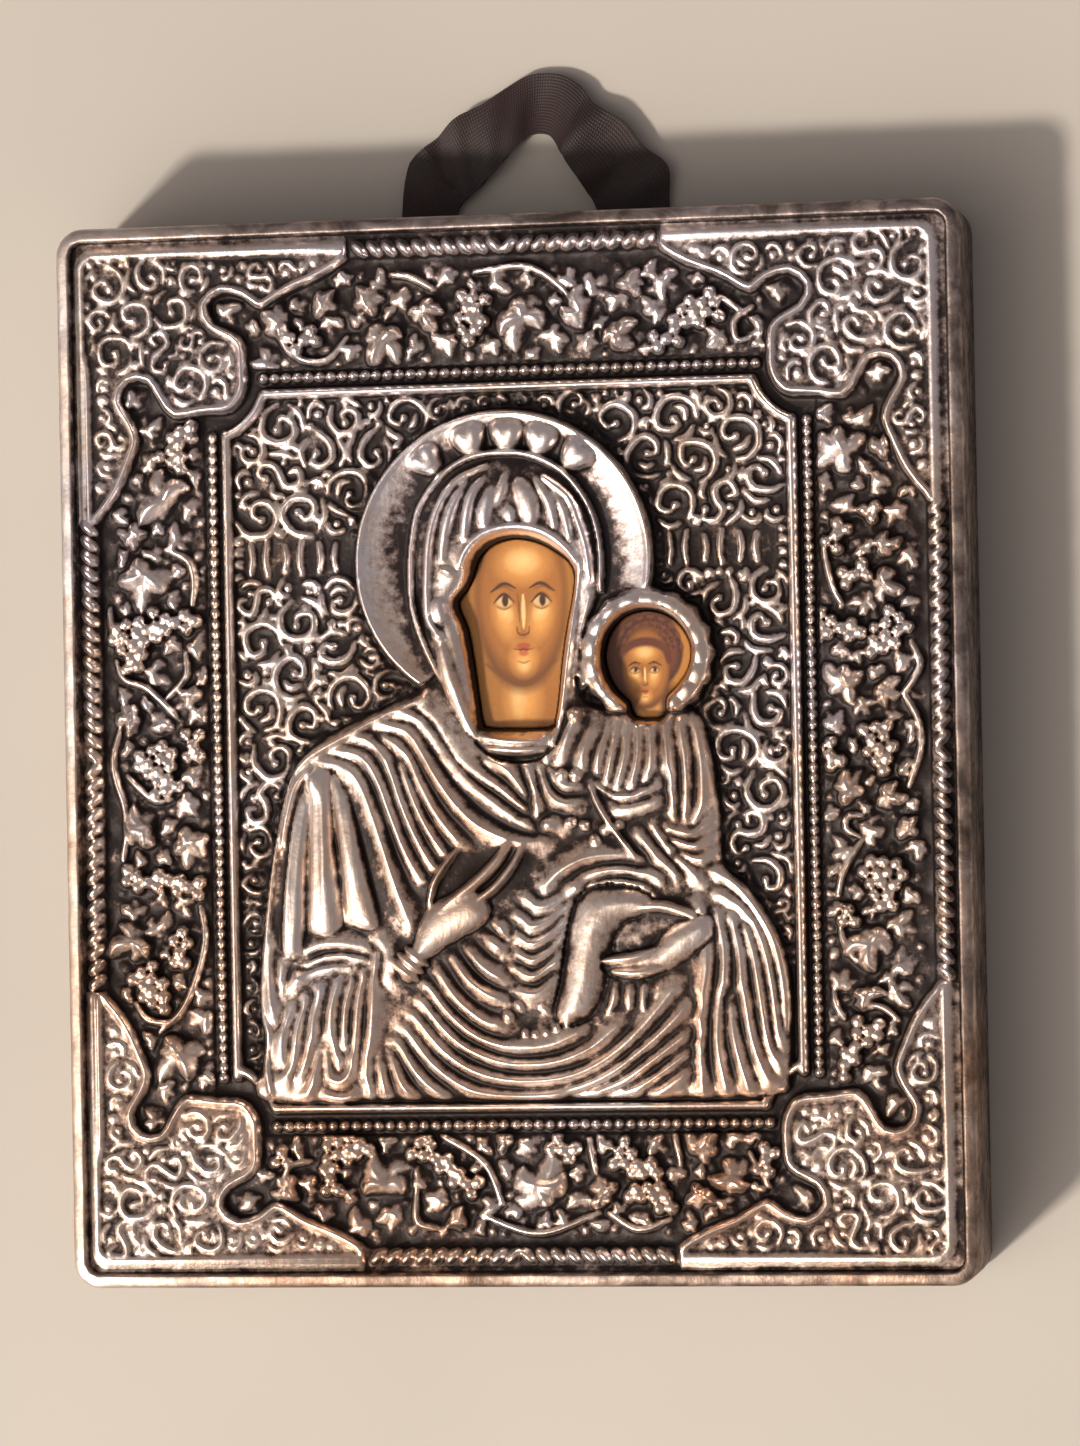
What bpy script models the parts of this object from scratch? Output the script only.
"""Silver icon: a small wooden panel under an embossed silver cover, hung by a ribbon loop.

The icon lies on its back. Origin: centre of the back face. +X to its right, +Y to its top,
+Z out of the face. The relief is worked out in millimetres and turned into metres for the mesh.
"""
import math

import bmesh
import bpy
import numpy as np

MM = 0.001

# Cover: outline, edge band and levels of the relief above the back face
HALF_X, HALF_Y = 30.0, 35.0
CORNER_R = 1.8
WALL = 0.4
Z_SKIRT = 0.9
Z_UNDER = 7.3
Z_GROOVE = 7.85
Z_VINE = 7.7
Z_CORNER = 8.3
Z_PANEL = 7.8
EDGE_IN = 1.4
EDGE_LINE_R = 2.8         # corners of the raised edge line, rounder than the outline's
# Steps of the edge from the groove outwards, down the side wall and back under the plate:
# (distance in from the outline, height)
EDGE_STEPS = [(1.25, 7.85), (1.05, 7.9), (0.94, 8.6), (0.75, 8.93), (0.5, 9.0), (0.22, 8.85), (0.05, 8.5),
              (0.0, 8.0), (0.0, Z_SKIRT), (WALL, Z_SKIRT), (WALL, Z_UNDER)]
# Inner frame
BEAD_X, BEAD_TOP, BEAD_BOTTOM = 19.75, 24.75, -24.45
LINE_X, LINE_TOP, LINE_BOTTOM, LINE_TURN = 18.75, 23.7, -23.25, 21.1

# Board
GAP = 0.3
BOARD_X, BOARD_Y, BOARD_Z = HALF_X - WALL - GAP, HALF_Y - WALL - GAP, 7.0
REBATE = (-8.6, 10.8, 26.6, 0.8)        # left, right, lower end, depth

# Ribbon: centre line x, y, z from one glued end round the loop to the other
RIBBON_W, RIBBON_T = 3.9, 0.4
RIBBON = [(-6.4, 27.6, 0.3), (-6.4, 31.5, 0.3), (-6.35, 35.0, 0.35), (-5.5, 37.8, 0.9), (-3.5, 40.0, 1.3),
          (-1.1, 41.8, 0.9), (1.5, 43.0, 0.6), (3.7, 42.0, 1.0), (5.2, 40.2, 1.4), (6.5, 38.1, 0.9),
          (7.5, 35.8, 0.35), (8.2, 31.5, 0.3), (8.4, 27.6, 0.3)]

TRIANGLES = 8600
PITCH = 0.26

# Corner cartouche for the upper right; the other three are its mirror images
CARTOUCHE = [(10.1, 33.4), (10.3, 32.3), (12.0, 31.2), (14.2, 30.3), (16.2, 29.2), (17.5, 30.0),
             (18.8, 30.35), (19.7, 29.6), (19.3, 28.6), (18.0, 27.9), (17.3, 27.1), (17.15, 25.6),
             (17.3, 23.9), (18.3, 22.6), (20.2, 22.4), (22.3, 22.2), (23.3, 23.3), (24.1, 24.6),
             (25.2, 24.6), (25.7, 23.6), (24.9, 22.2), (24.5, 20.9), (25.1, 19.2), (25.9, 17.5),
             (27.1, 15.9), (28.4, 15.1), (28.5, 24.0), (28.5, 33.5), (19.0, 33.5)]
# Vine: grape bunches as x, y, way the tip points, length, width; leaves as x, y, way, size
BUNCHES = [(-25.4, 7.6, 250, 2.6, 2.0), (-22.2, 8.8, 350, 2.6, 1.5), (-24.0, -0.7, 265, 2.6, 2.2),
           (-24.4, -8.3, 10, 2.0, 1.4), (-22.0, -8.7, 340, 2.2, 1.4), (-22.6, -13.0, 260, 2.4, 1.8),
           (-24.4, -15.1, 250, 2.6, 2.0), (21.4, 12.9, 215, 2.2, 1.6), (22.7, 10.5, 260, 2.2, 1.8),
           (21.7, 7.4, 350, 2.8, 1.6), (24.5, 6.8, 240, 2.8, 2.0), (20.9, -0.8, 250, 2.0, 1.4),
           (24.0, -0.5, 280, 2.6, 2.0), (24.1, -9.1, 250, 3.2, 2.6), (22.2, -19.3, 230, 3.4, 1.8),
           (-2.3, 28.2, 265, 4.6, 2.2), (12.8, 28.3, 200, 2.8, 2.2), (10.9, 26.6, 190, 2.4, 1.4),
           (-13.2, 27.3, 200, 2.4, 1.6), (-11.6, -25.9, 0, 3.6, 1.6), (-5.6, -26.6, 300, 2.8, 1.6),
           (-3.7, -27.9, 330, 2.2, 1.8), (2.9, -26.1, 320, 2.2, 1.4), (7.6, -27.1, 330, 3.0, 1.6),
           (8.8, -29.3, 320, 3.0, 2.2), (-12.8, -27.8, 280, 2.6, 1.6)]
LEAVES = [(-23.6, 17.2, 135, 2.6), (-24.6, 12.4, 250, 2.9), (-25.2, 3.2, 220, 2.0), (-24.6, -5.0, 160, 2.2),
          (-22.1, -5.6, 300, 2.4), (-25.4, -12.2, 200, 2.2), (-22.6, -20.0, 250, 2.2), (22.3, 18.9, 150, 2.9),
          (24.6, 10.6, 340, 2.1), (22.3, 3.7, 120, 2.6), (22.5, -2.9, 120, 2.3), (25.7, -5.9, 80, 1.7),
          (23.3, -14.0, 250, 2.4), (-14.6, 28.5, 160, 2.2), (-9.4, 29.9, 60, 1.9), (-7.8, 27.5, 250, 2.4),
          (0.9, 28.2, 270, 2.9), (5.8, 28.1, 150, 2.6), (-9.0, -29.0, 100, 3.1), (1.9, -28.8, 80, 2.9),
          (10.7, -25.9, 60, 1.9), (14.0, -27.2, 100, 2.2), (12.0, -28.9, 260, 1.7)]
STEMS = [[(-23.0, 13.6), (-21.2, 12.2), (-21.2, 10.0)], [(-26.6, 6.4), (-24.5, 4.7), (-22.6, 3.1)],
         [(-26.3, 2.2), (-26.6, -1.2), (-25.9, -4.6), (-26.0, -7.6)], [(-21.3, -9.6), (-20.8, -12.4), (-22.2, -16.4)],
         [(20.9, 12.0), (21.2, 10.6), (21.9, 8.7)], [(25.7, 3.1), (26.8, 0.3), (25.8, -2.8)],
         [(23.2, -5.9), (21.7, -8.2), (21.2, -9.8)], [(21.2, -11.7), (21.5, -13.2), (22.3, -14.3)],
         [(-15.8, 28.3), (-14.2, 26.6), (-12.0, 25.9), (-10.5, 27.3)], [(-1.9, 31.4), (1.6, 31.6), (4.4, 29.2)],
         [(-7.5, 31.4), (-6.2, 31.1), (-4.6, 30.1)], [(-5.2, -25.0), (-2.0, -27.0), (-0.8, -30.2)],
         [(-2.7, -30.3), (1.2, -31.7), (5.2, -30.1)], [(5.8, -30.2), (7.8, -31.5), (9.9, -30.6)]]

HALO = (-0.25, 12.3, 9.95)
PETALS = [(-5.2, 19.5, 132), (-2.6, 20.7, 108), (0.0, 21.2, 88), (2.6, 20.7, 70), (4.7, 19.5, 46)]
FIGURE = [(-4.9, 4.9), (-7.0, 3.7), (-9.3, 2.8), (-11.8, 1.4), (-13.9, -0.1), (-15.2, -2.6), (-16.0, -6.0),
          (-16.9, -11.0), (-17.3, -16.0), (-16.9, -19.5), (-17.0, -22.7), (-8.0, -22.75), (4.0, -22.75),
          (16.4, -22.7), (17.9, -21.2), (18.2, -18.0), (17.9, -14.8), (16.9, -11.8), (15.4, -9.2), (13.9, -7.5),
          (13.7, -4.0), (13.3, -0.5), (12.6, 2.0), (11.0, 2.6), (8.0, 2.4), (5.0, 3.0), (4.0, 5.0), (-3.0, 6.0)]
VEIL = [(-1.0, -0.6), (-2.4, 0.6), (-3.6, 2.6), (-4.9, 4.9), (-5.7, 8.0), (-6.2, 11.0), (-6.1, 14.2),
        (-5.2, 16.9), (-3.4, 18.5), (-1.0, 19.3), (1.2, 19.2), (3.4, 18.2), (5.1, 15.9), (6.0, 13.0),
        (6.2, 10.6), (5.2, 8.2), (4.6, 6.0), (4.3, 4.0), (3.9, 2.2), (3.0, 0.2), (1.5, -0.8)]
VEIL_HEM = [(-2.9, 12.2), (-2.2, 13.5), (-0.9, 14.3), (0.6, 14.5), (2.2, 14.2), (3.6, 13.4), (4.7, 12.2)]
VEIL_FOLDS = [[(-4.9, 5.0), (-6.2, 11.0), (-5.2, 16.9), (-0.9, 19.3), (3.6, 18.1), (6.0, 13.0), (6.3, 10.4)],
              [(-4.2, 12.3), (-3.8, 15.0), (-2.2, 17.6)], [(-2.6, 14.6), (-1.8, 16.8)], [(-0.9, 15.4), (-0.5, 17.4)],
              [(1.6, 15.1), (1.2, 17.2)], [(3.4, 14.4), (2.4, 16.9)],
              [(-5.0, 10.6), (-4.5, 7.0), (-3.2, 3.2), (-1.0, -0.4)], [(5.0, 11.8), (4.3, 7.2), (3.0, 0.8)]]
FACE_WINDOW = [(-2.0, 1.8), (-2.25, 3.4), (-2.55, 5.8), (-2.9, 7.9), (-3.35, 9.0), (-3.45, 9.8), (-2.9, 10.5),
               (-2.45, 11.4), (-2.0, 12.6), (-1.0, 13.5), (0.4, 13.85), (1.8, 13.6), (3.0, 13.0), (4.0, 12.2),
               (4.35, 11.3), (4.2, 9.8), (3.8, 7.9), (3.45, 5.8), (3.2, 3.6), (2.9, 1.9), (2.4, 1.35), (-1.4, 1.4)]
CHILD_HALO = (9.1, 6.0, 4.35)
CHILD_LOBES = 17
CHILD_WINDOW = [(8.1, 1.95), (7.7, 2.9), (6.9, 3.7), (6.3, 4.9), (6.15, 6.2), (6.6, 7.6), (7.6, 8.6),
                (9.0, 8.95), (10.4, 8.6), (11.4, 7.7), (11.95, 6.4), (11.7, 5.0), (11.0, 4.0), (10.3, 3.2), (10.05, 1.95)]
# Folds of the robes, each a ridge along a few points, grouped by where they lie
SHOULDER = [[(-5.0, 3.3), (-1.9, -1.4), (2.1, -5.2)], [(-6.2, 2.6), (-3.0, -1.4), (1.2, -5.5)],
            [(-7.8, 2.4), (-4.3, -1.0), (0.3, -5.7)], [(-9.2, 2.1), (-5.4, -1.0), (-1.2, -6.2)],
            [(-10.7, 1.5), (-6.5, -1.0), (-2.7, -6.4)], [(-8.0, -0.3), (-6.4, -3.4), (-4.3, -6.9)],
            [(-12.0, 0.6), (-9.4, 0.4), (-7.6, -3.4), (-5.3, -8.5)],
            [(-12.6, -0.4), (-10.2, -0.4), (-8.4, -4.8), (-6.3, -10.6)]]
SKIRT = [[(-9.2, -13.2), (-9.1, -16.0), (-10.2, -22.2)], [(-10.1, -14.6), (-10.7, -18.4), (-11.6, -21.6)],
         [(-11.6, -15.0), (-12.2, -18.0), (-12.8, -21.0)], [(-13.0, -15.5), (-14.0, -18.8), (-14.6, -21.6)],
         [(-14.2, -16.4), (-15.4, -18.6), (-15.9, -20.9)], [(-13.6, -12.7), (-11.6, -12.3), (-9.6, -12.9)],
         [(-14.6, -15.0), (-12.6, -14.1), (-10.0, -13.5)]]
LAP = [[(-4.0, -12.8), (-2.6, -13.8), (-1.0, -14.9)], [(-2.8, -12.3), (-1.3, -13.2), (0.0, -13.9)],
       [(-4.9, -14.1), (-3.2, -15.3), (-1.3, -16.4)], [(-5.6, -14.9), (-2.4, -18.1), (1.4, -19.0), (5.4, -18.1)],
       [(-6.3, -15.7), (-2.5, -19.4), (2.4, -20.2), (7.2, -18.2), (10.9, -14.9)],
       [(-7.2, -16.9), (-3.0, -20.8), (2.4, -21.4), (7.8, -19.1), (11.8, -15.2)],
       [(-7.8, -17.9), (-3.4, -22.0), (2.6, -22.5), (8.6, -19.9), (12.2, -16.2)],
       [(-8.4, -19.4), (-5.0, -22.6)], [(4.4, -22.6), (10.2, -19.2), (12.0, -17.4)], [(7.4, -22.6), (11.9, -19.2)]]
SIDE = [[(12.3, -10.9), (12.6, -16.0), (12.3, -22.5)], [(13.0, -9.9), (13.9, -13.4), (13.7, -19.2), (14.2, -22.5)],
        [(13.5, -9.1), (15.0, -12.3), (14.9, -19.4), (15.8, -22.3)],
        [(13.8, -8.1), (16.1, -11.6), (16.1, -17.4), (17.0, -21.0)],
        [(13.8, -7.6), (17.1, -12.8), (17.2, -17.6), (17.8, -21.2)]]
CHILD = [[(6.4, 1.4), (5.8, -0.4), (5.9, -1.9)], [(7.6, 1.6), (7.2, -0.5), (6.8, -2.4)],
         [(8.7, 1.6), (8.6, -0.5), (8.2, -2.3)], [(9.6, 1.5), (9.5, -1.9)], [(5.2, -2.4), (7.2, -3.5), (9.8, -2.5)],
         [(10.5, 1.9), (10.3, -1.4), (10.9, -4.7)], [(11.6, 1.4), (11.7, -1.4), (11.4, -4.6)],
         [(12.8, -0.6), (13.2, -6.4)], [(0.9, -1.2), (1.5, -3.4), (2.9, -5.4)], [(2.0, -1.4), (3.0, -3.4), (4.5, -4.2)],
         [(9.4, -5.5), (11.0, -6.9), (12.2, -8.3)], [(8.8, -6.7), (4.4, -6.9), (1.5, -8.8)],
         [(9.8, -8.0), (5.2, -8.0), (2.4, -9.9)], [(9.6, -8.7), (5.4, -9.0), (2.6, -11.2), (0.5, -11.1)],
         [(3.6, -12.2), (1.8, -13.1), (0.4, -12.6)], [(3.0, -14.0), (1.6, -14.8), (0.3, -14.3)],
         [(6.0, -4.4), (7.2, -5.6), (8.4, -6.8)], [(8.1, -10.3), (10.0, -10.3), (11.9, -10.7)]]
SLEEVE = [(-13.9, -1.0), (-12.6, -0.7), (-11.4, -1.6), (-10.8, -3.6), (-10.0, -6.4), (-9.0, -9.4), (-8.3, -11.6),
          (-10.2, -11.9), (-12.6, -11.8), (-14.0, -12.4), (-15.3, -13.2), (-15.6, -11.0), (-15.2, -7.6), (-14.8, -3.6)]
KNEE = [(4.4, -9.8), (6.4, -9.2), (8.2, -10.0), (8.0, -11.2), (6.6, -11.4), (5.8, -12.6), (5.4, -14.6),
        (4.8, -16.4), (3.6, -17.2), (3.0, -16.0), (3.6, -13.6), (4.0, -11.6)]
HAND = [(-7.9, -14.7), (-7.6, -13.4), (-6.5, -12.2), (-5.4, -10.2), (-4.2, -9.2), (-2.8, -8.7), (-1.6, -8.2),
        (-0.9, -9.8), (-1.4, -10.9), (-3.2, -12.3), (-5.0, -13.6), (-6.4, -14.7), (-7.4, -15.1)]
FINGERS = [[(-3.0, -8.9), (-1.2, -7.8), (0.4, -5.9)], [(-2.0, -9.6), (-0.2, -8.2), (1.1, -6.0)]]
LEFT_HAND = [[(12.2, -11.2), (9.8, -12.8), (6.4, -13.6)], [(12.0, -12.4), (9.6, -14.2), (6.4, -14.5)]]


def relief_grid():
    """Points of the front in millimetres; the four corners are eased onto the rounded outline."""
    gx, gy, r = HALF_X - EDGE_IN, HALF_Y - EDGE_IN, CORNER_R - EDGE_IN
    nx, ny = round(2 * gx / PITCH), round(2 * gy / PITCH)
    x, y = np.meshgrid(np.linspace(-gx, gx, nx + 1), np.linspace(-gy, gy, ny + 1))
    u, v = np.maximum(np.abs(x) - gx + r, 0) / r, np.maximum(np.abs(y) - gy + r, 0) / r
    ux, vy = u * np.sqrt(1 - v * v / 2), v * np.sqrt(1 - u * u / 2)
    return x + np.sign(x) * (ux - u) * r, y + np.sign(y) * (vy - v) * r


X, Y = relief_grid()


def curve(points, closed=False, step=0.25):
    """Points along a smooth curve through the given ones."""
    p = np.array(points, float)
    if closed:
        e = np.vstack([p[-1:], p, p[:2]])
    else:
        e = np.vstack([2 * p[0] - p[1], p, 2 * p[-1] - p[-2]])
    out = []
    for a, b, c, d in zip(e, e[1:], e[2:], e[3:]):
        n = max(2, int(math.hypot(c[0] - b[0], c[1] - b[1]) / step))
        t = np.linspace(0, 1, n, endpoint=False)[:, None]
        out.append(0.5 * (2 * b + (c - a) * t + (2 * a - 5 * b + 4 * c - d) * t ** 2
                          + (3 * b - a - 3 * c + d) * t ** 3))
    return np.vstack(out) if closed else np.vstack(out + [p[-1:]])


def ball(layer, x, y, r, h):
    """Half an ellipsoid standing on the layer, where it rises above what is there."""
    near = (np.abs(X[0] - x) < r + 0.3).nonzero()[0], (np.abs(Y[:, 0] - y) < r + 0.3).nonzero()[0]
    if len(near[0]) and len(near[1]):
        j, i = slice(near[1][0], near[1][-1] + 1), slice(near[0][0], near[0][-1] + 1)
        d2 = ((X[j, i] - x) ** 2 + (Y[j, i] - y) ** 2) / (r * r)
        np.maximum(layer[j, i], h * np.sqrt(np.clip(1 - d2, 0, 1)), out=layer[j, i])


def ridge(points, r, h, thin=0.5):
    """Rounded ridge of half width r and height h that thins towards both ends."""
    layer = np.zeros_like(X)
    path = curve(points)
    for k, (x, y) in enumerate(path):
        f = thin + (1 - thin) * abs(math.sin(math.pi * k / (len(path) - 1))) ** 0.6
        ball(layer, x, y, r * f, h * f)
    return layer


def ridges(lines, r, h, thin=0.5):
    return np.maximum.reduce([ridge(p, r, h, thin) for p in lines])


def edge_distance(outline):
    """Distance to the outline inside it, zero outside."""
    poly = curve(outline, True, 0.6)
    best, inside = np.full(X.shape, 1e9), np.zeros(X.shape, bool)
    for (x0, y0), (x1, y1) in zip(poly, np.roll(poly, -1, 0)):
        ex, ey = x1 - x0, y1 - y0
        t = np.clip(((X - x0) * ex + (Y - y0) * ey) / (ex * ex + ey * ey), 0, 1)
        best = np.minimum(best, (X - x0 - t * ex) ** 2 + (Y - y0 - t * ey) ** 2)
        if y0 != y1:
            inside ^= ((Y > y0) != (Y > y1)) & (X < ex * (Y - y0) / ey + x0)
    return np.where(inside, np.sqrt(best), 0)


def rounded(distance, shoulder):
    """0 at the outline to 1 at the shoulder, along a quarter round."""
    return np.sqrt(1 - (1 - np.clip(distance / shoulder, 0, 1)) ** 2)


def outline_depth(radius):
    """Distance in from the cover's outline, with its corners drawn at a given radius."""
    qx, qy = np.abs(X) - (HALF_X - radius), np.abs(Y) - (HALF_Y - radius)
    out = np.hypot(np.maximum(qx, 0), np.maximum(qy, 0)) + np.minimum(np.maximum(qx, qy), 0)
    return radius - out


def vine():
    """Bunches, leaves of three lobes, and stems that fill the border."""
    layer = ridges(STEMS, 0.3, 0.7)
    for x, y, way, length, width in BUNCHES:
        a = math.radians(way)
        dx, dy = 0.5 * (length - width) * math.cos(a), 0.5 * (length - width) * math.sin(a)
        line = [(x - dx, y - dy), (x, y), (x + 1.2 * dx, y + 1.2 * dy)]
        for k, (px, py) in enumerate(curve(line)):
            ball(layer, px, py, 0.5 * width * (1 - 0.04 * k), 0.95)
    for x, y, way, size in LEAVES:
        for turn, reach in ((0, 0.6), (80, 0.5), (-80, 0.5)):
            a = math.radians(way + turn)
            tip = (x + size * reach * math.cos(a), y + size * reach * math.sin(a))
            layer = np.maximum(layer, ridge([(x, y), tip], 0.25 * size, 0.9, 0.7))
    return layer


def cartouches():
    depth = np.zeros_like(X)
    for sx in (-1, 1):
        for sy in (-1, 1):
            depth = np.maximum(depth, edge_distance([(sx * x, sy * y) for x, y in CARTOUCHE]))
    return depth


def inner_frame():
    """Bead line and plain line round the central panel, the plain line with hollow corners."""
    lines = []
    for s in (-1, 1):
        lines.append([(s * BEAD_X, -21.2), (s * BEAD_X, 21.5)])
        lines.append([(s * LINE_X, -LINE_TURN), (s * LINE_X, LINE_TURN)])
        lines.append([(s * LINE_X, LINE_TURN), (s * 17.0, 22.4), (s * 16.2, LINE_TOP)])
        lines.append([(s * LINE_X, -LINE_TURN), (s * 17.0, -22.1), (s * 16.2, LINE_BOTTOM)])
    for y in (BEAD_TOP, LINE_TOP, LINE_BOTTOM, BEAD_BOTTOM):
        lines.append([(-16.2, y), (16.2, y)])
    return ridges(lines, 0.4, 0.8, 1.0)


def halo(height):
    x, y, radius = HALO
    r = np.hypot(X - x, Y - y)
    dish = 0.35 + 0.75 * np.clip((r - 5) / 4.3, 0, 1) ** 1.3 + 0.3 * np.exp(-((r - radius + 0.4) / 0.35) ** 2)
    height = np.where(r < radius, Z_PANEL + dish * rounded(radius - r, 0.35), height)
    for px, py, way in PETALS:
        a = math.radians(way)
        petal = ridge([(px - math.cos(a), py - math.sin(a)), (px + 0.3 * math.cos(a), py + 0.3 * math.sin(a))],
                      0.95, 0.85, 0.8)
        height = np.where(petal > 0, np.maximum(height, Z_PANEL + 0.7 + petal), height)
    return height


def figure(height):
    """Robed half figure with the child on its arm: a body, then the folds and hands upon it."""
    depth = edge_distance(FIGURE)
    body = 0.1 + 0.55 * rounded(depth, 0.7) + 0.55 * (1 - np.exp(-depth / 2.2))
    for x, y, rx, ry, h in ((-9.5, -5, 6, 7, 0.35), (3.5, -13, 7, 6, 0.45), (9, -1.5, 3.2, 4, 0.35)):
        body += h * np.exp(-((X - x) / rx) ** 2 - ((Y - y) / ry) ** 2)
    folds = np.maximum.reduce([ridges(SHOULDER, 0.5, 0.6), ridges(SKIRT, 0.55, 0.6), ridges(LAP, 0.52, 0.6),
                               ridges(SIDE, 0.6, 0.65), ridges(CHILD, 0.42, 0.55)])
    height = np.where(depth > 0, Z_PANEL + body + folds, height)

    depth = edge_distance(VEIL)
    veil = 0.75 + 1.1 * rounded(depth, 2.6) + np.maximum(ridges(VEIL_FOLDS, 0.4, 0.45), ridge(VEIL_HEM, 0.5, 0.7))
    height = np.where(depth > 0, Z_PANEL + veil, height)

    depth = edge_distance(SLEEVE)
    height = np.where(depth > 0, Z_PANEL + 0.75 + 1.15 * rounded(depth, 2.4), height)
    depth = edge_distance(KNEE)
    height = np.where(depth > 0, Z_PANEL + 1.2 + 0.95 * rounded(depth, 1.3), height)
    depth = edge_distance(HAND)
    height = np.where(depth > 0, Z_PANEL + 1.0 + 1.1 * rounded(depth, 1.2), height)
    fingers = np.maximum(ridges(FINGERS, 0.45, 0.75), ridges(LEFT_HAND, 0.65, 0.75))
    return np.where(fingers > 0, np.maximum(height, Z_PANEL + 1.15 + fingers), height)


def child_halo(height):
    x, y, radius = CHILD_HALO
    r, a = np.hypot(X - x, Y - y), np.arctan2(Y - y, X - x)
    edge = radius + 0.15 * np.cos(CHILD_LOBES * a)
    ring = 0.6 + 1.1 * rounded(edge - r, 1.0) * rounded(r - 2.2, 0.8) + 0.15 * np.cos(CHILD_LOBES * a)
    return np.where((r < edge) & (Y > 2.3), Z_PANEL + ring, height)


def front_height():
    """Height of the embossed front at every grid point."""
    depth = outline_depth(EDGE_LINE_R)
    height = Z_VINE + vine()
    plate = cartouches()
    roll = 0.4 * np.exp(-((plate - 0.45) / 0.25) ** 2)
    height = np.where(plate > 0, Z_VINE + (Z_CORNER - Z_VINE) * rounded(plate, 0.3) + roll, height)
    line = Z_GROOVE - 0.1 + 0.85 * np.sqrt(np.clip(1 - ((depth - 1.85) / 0.5) ** 2, 0, 1))
    height = np.where(depth < 2.2, line, height)
    inner = (np.abs(X) < BEAD_X + 0.6) & (Y < BEAD_TOP + 0.6) & (Y > BEAD_BOTTOM - 0.6) & (plate <= 0)
    height = np.where(inner, Z_PANEL - 0.1, height)
    frame = inner_frame()
    height = np.where(frame > 0, np.maximum(height, Z_PANEL - 0.1 + frame), height)
    panel = inner & (np.abs(X) < LINE_X - 0.4) & (Y < LINE_TOP - 0.4) & (Y > LINE_BOTTOM + 0.4) & (frame <= 0)
    height = np.where(panel & (np.hypot(np.abs(X) - 20.2, np.abs(Y) - 24.8) > 4.4), Z_PANEL, height)
    return child_halo(figure(halo(height)))


def material(name, colour, roughness, metallic):
    mat = bpy.data.materials.new(name)
    mat.use_nodes = True
    bsdf = mat.node_tree.nodes["Principled BSDF"]
    bsdf.inputs["Base Color"].default_value = (*colour, 1.0)
    bsdf.inputs["Roughness"].default_value = roughness
    bsdf.inputs["Metallic"].default_value = metallic
    return mat


def add_object(name, bm, collection, mat=None):
    mesh = bpy.data.meshes.new(name)
    bm.to_mesh(mesh)
    bm.free()
    obj = bpy.data.objects.new(name, mesh)
    collection.objects.link(obj)
    if mat:
        mesh.materials.append(mat)
    else:
        obj.display_type = "WIRE"
        obj.hide_render = True
    return obj


def outward(x, y, inset):
    """The point of the front's rim moved to a given distance in from the outline."""
    cx, cy, r = HALF_X - CORNER_R, HALF_Y - CORNER_R, CORNER_R - inset
    u, v = max(abs(x) - cx, 0.0), max(abs(y) - cy, 0.0)
    if u > 0 and v > 0:
        d = math.hypot(u, v)
        px, py = cx + r * u / d, cy + r * v / d
    elif HALF_X - abs(x) < HALF_Y - abs(y):
        px, py = HALF_X - inset, abs(y)
    else:
        px, py = abs(x), HALF_Y - inset
    return math.copysign(px, x), math.copysign(py, y)


def make_cover(collection, cutters, mat):
    height = front_height()
    ny, nx = X.shape
    bm = bmesh.new()
    bmesh.ops.create_grid(bm, x_segments=nx - 1, y_segments=ny - 1, size=0.5)
    for v in bm.verts:
        i, j = round((v.co.x + 0.5) * (nx - 1)), round((v.co.y + 0.5) * (ny - 1))
        v.co = (X[j, i], Y[j, i], height[j, i])
    rim = [e for e in bm.edges if e.is_boundary]
    for inset, z in EDGE_STEPS:
        step = bmesh.ops.extrude_edge_only(bm, edges=rim)["geom"]
        rim = [e for e in step if isinstance(e, bmesh.types.BMEdge) and e.is_boundary]
        for v in {v for e in rim for v in e.verts}:
            v.co = (*outward(v.co.x, v.co.y, inset), z)
    bmesh.ops.contextual_create(bm, geom=rim)
    bmesh.ops.recalc_face_normals(bm, faces=bm.faces)
    bmesh.ops.scale(bm, vec=(MM, MM, MM), verts=bm.verts)
    cover = add_object("silver_cover", bm, collection, mat)
    thin = cover.modifiers.new("thin_out", "DECIMATE")
    thin.ratio = TRIANGLES / sum(len(p.vertices) - 2 for p in cover.data.polygons)
    for name, outline in (("face_window", FACE_WINDOW), ("child_window", CHILD_WINDOW)):
        cut = cover.modifiers.new(name, "BOOLEAN")
        cut.operation = "DIFFERENCE"
        cut.object = prism(name + "_cutter", outline, 6.5, 12.0, cutters)
    return cover


def prism(name, outline, z0, z1, collection):
    bm = bmesh.new()
    face = bm.faces.new([bm.verts.new((x * MM, y * MM, z0 * MM)) for x, y in curve(outline, True, 0.7)])
    walls = bmesh.ops.extrude_face_region(bm, geom=[face])["geom"]
    bmesh.ops.translate(bm, vec=(0, 0, (z1 - z0) * MM), verts=[v for v in walls if isinstance(v, bmesh.types.BMVert)])
    bmesh.ops.recalc_face_normals(bm, faces=bm.faces)
    return add_object(name, bm, collection)


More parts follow.
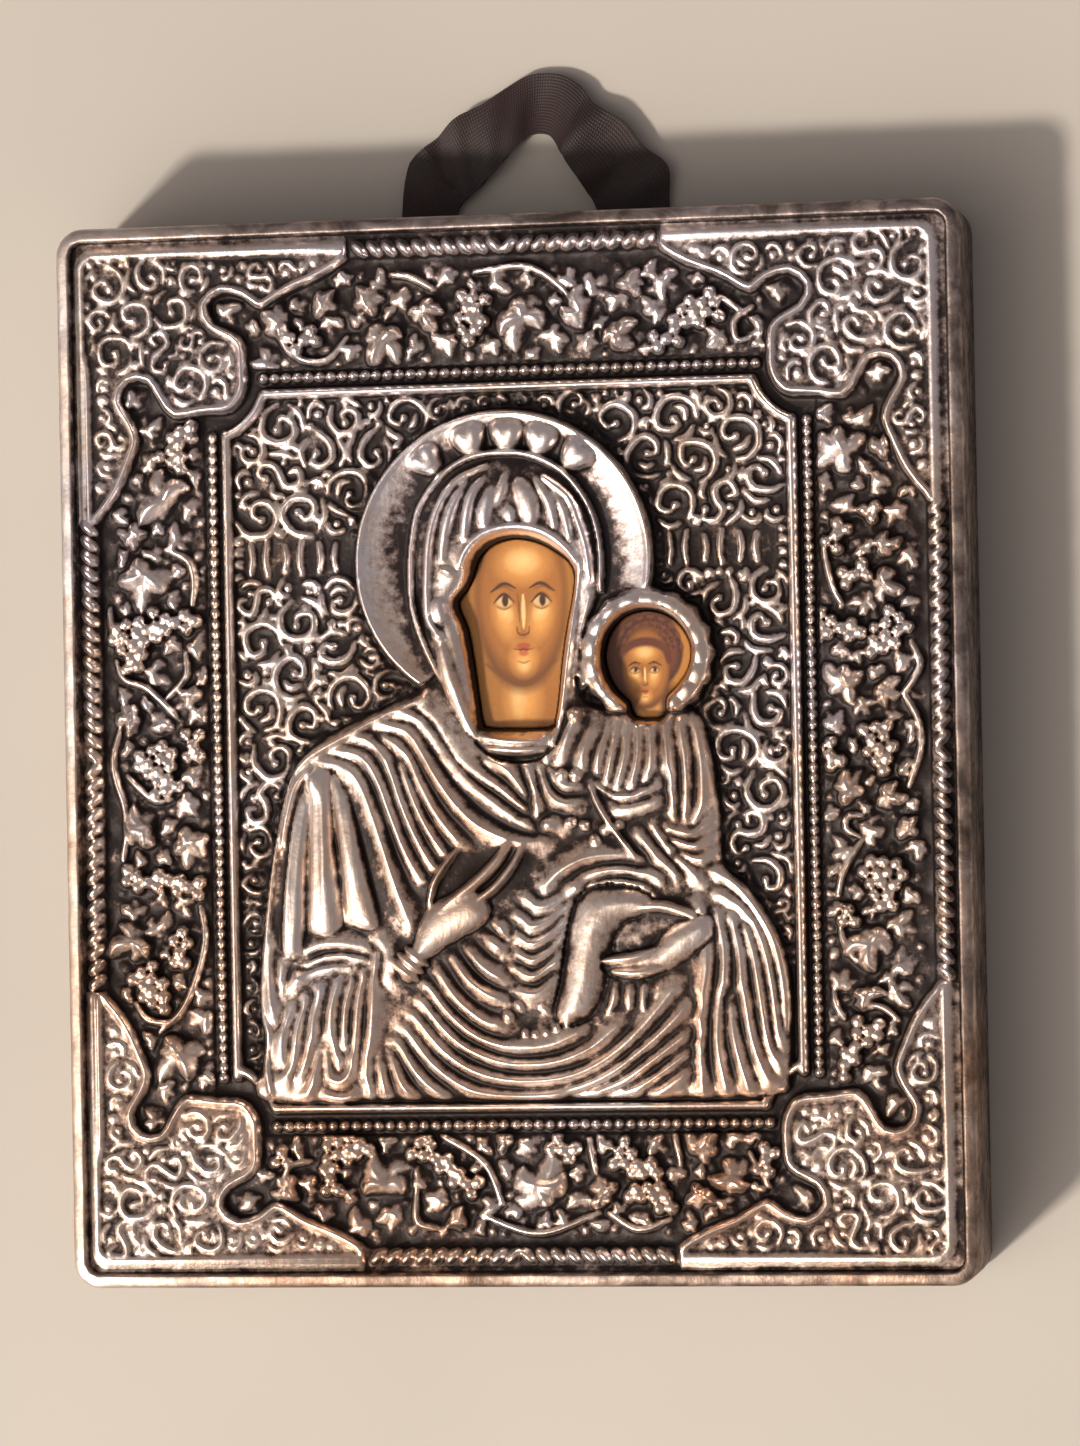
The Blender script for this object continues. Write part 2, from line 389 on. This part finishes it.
def block(name, x0, x1, y0, y1, z0, z1, collection, mat=None, corner=0.0):
    bm = bmesh.new()
    bmesh.ops.create_cube(bm, size=1.0)
    bmesh.ops.scale(bm, vec=((x1 - x0) * MM, (y1 - y0) * MM, (z1 - z0) * MM), verts=bm.verts)
    bmesh.ops.translate(bm, vec=((x0 + x1) / 2 * MM, (y0 + y1) / 2 * MM, (z0 + z1) / 2 * MM), verts=bm.verts)
    if corner:
        upright = [e for e in bm.edges if abs(e.verts[0].co.z - e.verts[1].co.z) > 1e-6]
        bmesh.ops.bevel(bm, geom=upright, offset=corner * MM, segments=5, profile=0.5, affect="EDGES")
    return add_object(name, bm, collection, mat)


def make_board(collection, cutters, mat):
    board = block("icon_board", -BOARD_X, BOARD_X, -BOARD_Y, BOARD_Y, 0, BOARD_Z, collection, mat,
                  CORNER_R - WALL - GAP)
    left, right, low, deep = REBATE
    cut = board.modifiers.new("ribbon_rebate", "BOOLEAN")
    cut.operation = "DIFFERENCE"
    cut.object = block("ribbon_rebate_cutter", left, right, low, BOARD_Y + 1, -1, deep, cutters)
    return board


def make_ribbon(collection, mat):
    """Flat band that follows its centre line, then thickened evenly."""
    path = curve(RIBBON, step=0.8)
    across = np.gradient(path[:, :2], axis=0)
    across /= np.linalg.norm(across, axis=1)[:, None]
    bm = bmesh.new()
    bmesh.ops.create_grid(bm, x_segments=len(path) - 1, y_segments=4, size=0.5)
    for v in bm.verts:
        k, s = round((v.co.x + 0.5) * (len(path) - 1)), v.co.y * RIBBON_W
        x, y, z = path[k]
        v.co = (x - across[k][1] * s, y + across[k][0] * s, z)
    bmesh.ops.scale(bm, vec=(MM, MM, MM), verts=bm.verts)
    ribbon = add_object("hanging_ribbon", bm, collection, mat)
    thick = ribbon.modifiers.new("thickness", "SOLIDIFY")
    thick.thickness = RIBBON_T * MM
    thick.offset = 0.0
    return ribbon


def main():
    for obj in list(bpy.data.objects):
        bpy.data.objects.remove(obj, do_unlink=True)
    parts = bpy.data.collections.new("silver_icon")
    cutters = bpy.data.collections.new("cutters")
    bpy.context.scene.collection.children.link(parts)
    bpy.context.scene.collection.children.link(cutters)
    make_cover(parts, cutters, material("oxidised_silver", (0.42, 0.40, 0.37), 0.34, 1.0))
    make_board(parts, cutters, material("painted_wood", (0.45, 0.25, 0.10), 0.55, 0.0))
    make_ribbon(parts, material("brown_ribbon", (0.06, 0.025, 0.02), 0.7, 0.0))


main()
